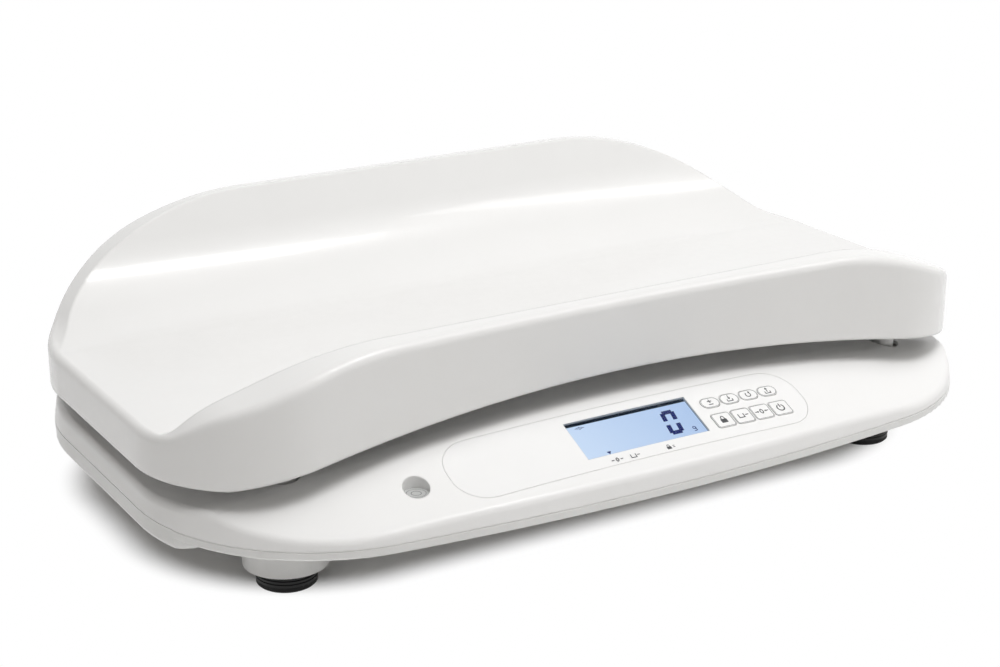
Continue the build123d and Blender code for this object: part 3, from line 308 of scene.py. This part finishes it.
def makeDisplayBlue():
    # The backlit picture: brighter low on the left, deeper blue high on the right.
    look = {"from": (-0.05, -0.160, 0.052), "to": (0.038, -0.134, 0.074),
            "low": (0.61, 0.75, 0.95, 1), "high": (0.43, 0.58, 0.84, 1), "glow": 0.97}
    material = bpy.data.materials.new("display_glass")
    material.use_nodes = True
    tree = material.node_tree
    shader = tree.nodes["Principled BSDF"]
    place = tree.nodes.new("ShaderNodeTexCoord")
    way = Vector(look["to"]) - Vector(look["from"])
    dot = tree.nodes.new("ShaderNodeVectorMath")
    dot.operation = "DOT_PRODUCT"
    dot.inputs[1].default_value = way / way.length_squared
    tree.links.new(place.outputs["Object"], dot.inputs[0])
    shift = tree.nodes.new("ShaderNodeMath")
    shift.operation = "SUBTRACT"
    shift.inputs[1].default_value = Vector(look["from"]).dot(way) / way.length_squared
    tree.links.new(dot.outputs["Value"], shift.inputs[0])
    ramp = tree.nodes.new("ShaderNodeValToRGB")
    ramp.color_ramp.elements[0].color = look["low"]
    ramp.color_ramp.elements[1].color = look["high"]
    tree.links.new(shift.outputs[0], ramp.inputs[0])
    shader.inputs["Base Color"].default_value = (0.01, 0.012, 0.015, 1)
    shader.inputs["IOR"].default_value = 1.05
    tree.links.new(ramp.outputs["Color"], shader.inputs["Emission Color"])
    shader.inputs["Emission Strength"].default_value = look["glow"]
    bump = tree.nodes.new("ShaderNodeBump")
    bump.inputs["Distance"].default_value = 0.00001
    tree.links.new(noiseField(tree, place, 2500, 2), bump.inputs["Height"])
    tree.links.new(bump.outputs["Normal"], shader.inputs["Normal"])
    shader.inputs["Roughness"].default_value = 0.35
    return material


made["display_glass"] = makeDisplayBlue()
for part in frame["record"]["subparts"]:
    nodes[part["node"]].data.materials[0] = made[part["material_slot"]]
nodes["lcd_frame"].data.materials[0] = made["window_edge"]
print("finishes made:", len(made))

# ---- printed marks
console = {"middle": Vector((0, -0.1475, 0.0685)), "slope": radians(23.7), "crown": 2.5,
           "keysAt": 0.069975, "glassDepth": 0.0015}


def consolePlace(x, v, lift=0.0, crowned=True):
    # x along the console, v up its slope, lift off its skin; all in metres
    up = Vector((0, cos(console["slope"]), sin(console["slope"])))
    out = Vector((0, -sin(console["slope"]), cos(console["slope"])))
    lean = x / console["crown"] if crowned else 0.0
    along = Vector((1, 0, 0)) * cos(lean) - out * sin(lean)
    normal = out * cos(lean) + Vector((1, 0, 0)) * sin(lean)
    spot = console["middle"] + Vector((x, 0, 0)) + up * v + out * (lift - x * lean / 2)
    turned = Matrix((along, up, normal)).transposed().to_4x4()
    return Matrix.Translation(spot) @ turned


def editFaces(piece, picked):
    # leaves the piece in edit mode with the picked faces selected
    bpy.ops.object.mode_set(mode="EDIT")
    bpy.ops.mesh.select_mode(type="FACE")
    bpy.ops.mesh.select_all(action="DESELECT")
    bpy.ops.object.mode_set(mode="OBJECT")
    for face in piece.data.polygons:
        face.select = picked(face)
    bpy.ops.object.mode_set(mode="EDIT")


def flatShape(kind, width, height, x=0.0, y=0.0, corner=0.0, line=0.0, gap=0.0, turn=0.0,
              slant=0.0, taper=0.0):
    # one flat bar, ring or arrow tip, in millimetres
    if kind == "bar":
        bpy.ops.mesh.primitive_plane_add(size=1)
    else:
        corners = {"ring": 48, "tip": 3}[kind]
        bpy.ops.mesh.primitive_circle_add(vertices=corners, radius=0.5, fill_type="NGON")
    piece = bpy.context.object
    piece.scale = (width, height, 1)
    bpy.ops.object.transform_apply(location=False, rotation=False, scale=True)
    bpy.ops.object.mode_set(mode="EDIT")
    bpy.ops.mesh.select_mode(type="VERT")
    bpy.ops.mesh.select_all(action="SELECT")
    if corner:
        bpy.ops.mesh.bevel(offset=corner, segments=6, affect="VERTICES")
    if line:
        bpy.ops.mesh.select_all(action="SELECT")
        bpy.ops.mesh.inset(thickness=line)
        bpy.ops.mesh.delete(type="FACE")
    bpy.ops.object.mode_set(mode="OBJECT")
    if taper:  # the lower edge is shorter at both ends
        for vertex in piece.data.vertices:
            vertex.select = vertex.co.y < 0
        bpy.ops.object.mode_set(mode="EDIT")
        bpy.ops.transform.resize(value=(1 - 2 * taper * height / width, 1, 1),
                                 center_override=(0, -height / 2, 0))
        bpy.ops.object.mode_set(mode="OBJECT")
    if gap:  # an opening at the top of a ring
        up = Vector((0, 1, 0))
        editFaces(piece, lambda face: degrees(up.angle(face.center)) < gap)
        bpy.ops.mesh.delete(type="FACE")
        bpy.ops.object.mode_set(mode="OBJECT")
    lean = Matrix(((1, slant, 0, 0), (0, 1, 0, 0), (0, 0, 1, 0), (0, 0, 0, 1)))
    piece.data.transform(lean @ Matrix.Translation((x, y, 0)) @ Matrix.Rotation(radians(turn), 4, "Z"))
    return piece


def mark(name, shapes, place, body, finish, thickness=0.03):
    # joins flat shapes into one thin print and puts it where it belongs
    bpy.ops.object.select_all(action="DESELECT")
    pieces = [flatShape(**shape) for shape in shapes]
    for piece in pieces:
        piece.select_set(True)
    print_ = pieces[0]
    bpy.context.view_layer.objects.active = print_
    if len(pieces) > 1:
        bpy.ops.object.join()
    print_.name = name
    editFaces(print_, lambda face: True)
    bpy.ops.mesh.extrude_region_move(TRANSFORM_OT_translate={"value": (0, 0, thickness)})
    bpy.ops.mesh.select_all(action="SELECT")
    bpy.ops.mesh.normals_make_consistent(inside=False)
    bpy.ops.object.mode_set(mode="OBJECT")
    print_.data.transform(place @ Matrix.Scale(0.001, 4))
    print_.data.materials.clear()
    print_.data.materials.append(made[finish])
    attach(print_, body)
    print_.select_set(False)
    return print_


def bar(width, height, x=0.0, y=0.0, turn=0.0, corner=0.12):
    return {"kind": "bar", "width": width, "height": height, "x": x, "y": y, "turn": turn, "corner": corner}


def tip(x, y, turn, size=1.9):
    # an arrow head; turn 0 points up
    return {"kind": "tip", "width": size, "height": size * 0.9, "x": x, "y": y, "turn": turn}


def ring(width, height, x=0.0, y=0.0, line=0.45, gap=0.0):
    return {"kind": "ring", "width": width, "height": height, "x": x, "y": y, "line": line, "gap": gap}


def frameShape(width, height, corner, line, x=0.0, y=0.0):
    return {"kind": "bar", "width": width, "height": height, "corner": corner, "line": line, "x": x, "y": y}


def cup(x, y, width=3.6, height=1.3, line=0.42):
    # an open tray that an arrow points into or out of
    return [bar(width, line, x, y - height / 2), bar(line, height, x - width / 2 + line / 2, y),
            bar(line, height, x + width / 2 - line / 2, y)]


keyMarks = {
    "ovalSize": (13.0, 8.0), "squareSize": (13.0, 11.5), "pitch": 14.25, "ovalV": 5.8, "squareV": -9.3,
    "ovalCorner": 3.9, "squareCorner": 2.0, "outline": 0.34, "outlineInset": 0.25,
    "proud": 0.25, "gap": 0.005,
    "ovals": {
        "difference": [bar(3.2, 0.62, 0, 1.1), bar(0.62, 3.0, 0, 1.1), bar(3.2, 0.62, 0, -1.5)],
        "store": cup(0, -1.1, 4.4, 1.6, 0.6) + [bar(0.62, 2.2, 0, 1.8), tip(0, 0.35, 180, 2.3)],
        "mode": [ring(4.0, 4.0, 0, 0.2, 0.6, 38), tip(1.3, 1.9, 30, 2.1)],
        "recall": cup(0, -1.1, 4.4, 1.6, 0.6) + [bar(0.62, 2.2, 0, 0.3), tip(0, 1.9, 0, 2.3)],
    },
    "squares": {
        "hold": [bar(4.4, 3.1, 0, -0.9, corner=0.4), ring(3.0, 4.0, 0, 1.1, 0.65)],
        "tare": cup(-1.0, 0.2, 4.4, 3.0, 0.66) + [bar(2.4, 0.66, 3.1, 0.4)],
        "zero": [ring(2.6, 3.9, 0, 0.2, 0.66), bar(1.6, 0.62, -4.0, 0.2), tip(-2.7, 0.2, -90, 1.9),
                 bar(1.6, 0.62, 4.0, 0.2), tip(2.7, 0.2, 90, 1.9)],
        "power": [ring(5.6, 5.6, 0, 0.0, 0.8, 33), bar(0.8, 3.0, 0, 1.9)],
    },
}


def printKeys():
    onKeys = consolePlace(console["keysAt"], 0)
    inset = keyMarks["outlineInset"]
    for row, size, v, corner in (
            ("ovals", keyMarks["ovalSize"], keyMarks["ovalV"], keyMarks["ovalCorner"]),
            ("squares", keyMarks["squareSize"], keyMarks["squareV"], keyMarks["squareCorner"])):
        for column, (name, shapes) in enumerate(keyMarks[row].items()):
            x = (column - 1.5) * keyMarks["pitch"]
            place = onKeys @ Matrix.Translation(Vector((x, v, keyMarks["proud"] + keyMarks["gap"])) * 0.001)
            edge = frameShape(size[0] - 2 * inset, size[1] - 2 * inset, corner - inset, keyMarks["outline"])
            mark("outline_" + name, [edge], place, "key_" + name, "outline_ink")
            mark("sign_" + name, shapes, place, "key_" + name, "print_ink")


printKeys()

windowMarks = {  # small signs printed under the window, x and size in millimetres
    "v": -19.9,
    "signs": [ring(2.0, 2.9, -32.9, 0, 0.5), bar(1.8, 0.5, -35.9, 0), bar(1.8, 0.5, -29.9, 0),
              *cup(-21.9, 0, 3.8, 2.6, 0.5), bar(1.8, 0.5, -18.4, 0.2),
              bar(3.0, 2.0, 2.6, -0.6, corner=0.25), ring(2.0, 2.7, 2.6, 0.7, 0.45),
              bar(1.4, 0.45, 6.0, 0.5), bar(1.4, 0.45, 6.0, -0.6)],
}
mark("sign_window_row", windowMarks["signs"], consolePlace(0, windowMarks["v"] * 0.001, 0.00001),
     "base", "print_ink")

display = {"digitMiddle": (17.0, -1.2), "digitWidth": 9.9, "digitHeight": 19.2, "stroke": 3.0,
           "split": 0.1, "taper": 0.5, "slant": 0.15, "printThick": 0.02, "overGlass": 0.00003,
           "pointer": (-33.6, -12.4), "steady": (-40.7, 10.1), "unit": (27.9, -9.7),
           "shadeMiddle": (-7.1, 13.3), "shadeSize": (83.2, 2.4)}


def segment(long, x, y, turn):
    return {"kind": "bar", "width": long - display["split"], "height": display["stroke"],
            "taper": display["taper"], "x": x, "y": y, "turn": turn, "slant": display["slant"]}


def printDisplay():
    look = display
    half = look["digitHeight"] / 2
    side = (look["digitWidth"] - look["stroke"]) / 2
    shapes = [segment(look["digitWidth"], 0, way * (half - look["stroke"] / 2), 90 - 90 * way)
              for way in (-1, 1)]
    shapes += [segment(half, way * side, level * half / 2, -90 * way)
               for way in (-1, 1) for level in (-1, 1)]
    x, v = look["digitMiddle"]
    depth = -console["glassDepth"] + look["overGlass"]
    thick = look["printThick"]
    mark("display_digit", shapes, consolePlace(x * 0.001, v * 0.001, depth, False), "base",
         "segment_ink", thick)
    x, v = look["pointer"]
    steadyX, steadyV = look["steady"]
    unitX, unitV = look["unit"]
    small = [tip(x, v, 180, 3.4),
             ring(1.3, 2.4, steadyX, steadyV, 0.34), bar(1.6, 0.34, steadyX - 2.4, steadyV),
             bar(1.6, 0.34, steadyX + 2.4, steadyV), bar(0.34, 1.7, steadyX - 1.4, steadyV),
             bar(0.34, 1.7, steadyX + 1.4, steadyV),
             ring(2.3, 2.3, unitX, unitV + 0.7, 0.55), bar(0.55, 3.2, unitX + 0.95, unitV - 0.1),
             bar(1.9, 0.55, unitX, unitV - 1.7)]
    mark("display_signs", small, consolePlace(0, 0, depth, False), "base", "segment_ink", thick)
    x, v = look["shadeMiddle"]
    mark("display_top_shade", [bar(*look["shadeSize"], x, v)], consolePlace(0, 0, depth, False), "base",
         "display_shade", thick)


printDisplay()

levelMarks = {"circle": 6.0, "edge": 11.2, "line": 0.42, "edgeLine": 0.294, "proud": 0.00001}
vialLow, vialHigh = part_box("level_vial")
vialTop = Matrix.Translation(((vialLow.x + vialHigh.x) / 2, (vialLow.y + vialHigh.y) / 2,
                              vialHigh.z + levelMarks["proud"]))
mark("level_circle", [ring(levelMarks["circle"], levelMarks["circle"], line=levelMarks["line"]),
                      ring(levelMarks["edge"], levelMarks["edge"], line=levelMarks["edgeLine"])],
     vialTop, "base", "print_ink")
print("marks printed")
